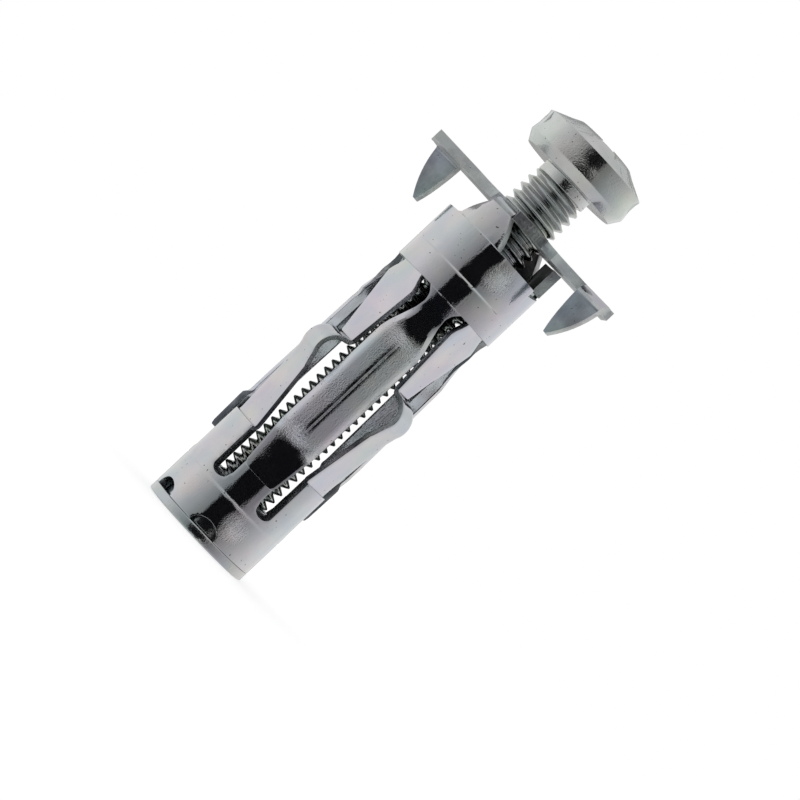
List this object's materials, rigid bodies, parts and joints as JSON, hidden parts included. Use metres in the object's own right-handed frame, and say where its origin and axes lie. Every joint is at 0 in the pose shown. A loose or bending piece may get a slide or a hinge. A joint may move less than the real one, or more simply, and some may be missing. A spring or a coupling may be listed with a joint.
{
  "type": "wall plug",
  "caption": "Expanding metal cavity anchor: a folded sheet sleeve with clawed flange wings, a threaded end nut and a cross-recess machine screw that draws it shut.",
  "frame": {"origin": "centre of the nut's end face, on the screw's axis", "axes": "+Z along the axis from the nut's end to the screw's head, +X along the flange wing whose claw is at the front, -Y to the front strap"},
  "size_m": [0.0194, 0.011, 0.0435],
  "materials": {
    "sleeve_sheet": "bright zinc plated sheet steel, mirror smooth with fine mottling",
    "nut_steel": "bright zinc plated turned steel",
    "screw_steel": "satin zinc plated steel, slightly greenish grey"
  },
  "bodies": {
    "sleeve": {"sleeve": "sleeve_sheet"},
    "nut": {"end_nut": "nut_steel"},
    "screw": {"screw": "screw_steel"}
  },
  "joints": [
    {"name": "screw_turn", "type": "hinge", "parent": "sleeve", "child": "screw", "pos_m": [0, 0, 0.03946], "axis": [0, 0, -1], "range_deg": [0, 4680]},
    {"name": "nut_draw", "type": "slide", "parent": "sleeve", "child": "nut", "axis": [0, 0, 1], "range_m": [0, 0.0104], "deforming": ["sleeve"]}
  ],
  "couplings": [
    {"joint": "screw_turn", "follows": "nut_draw", "rad_per_m": 7854}
  ]
}
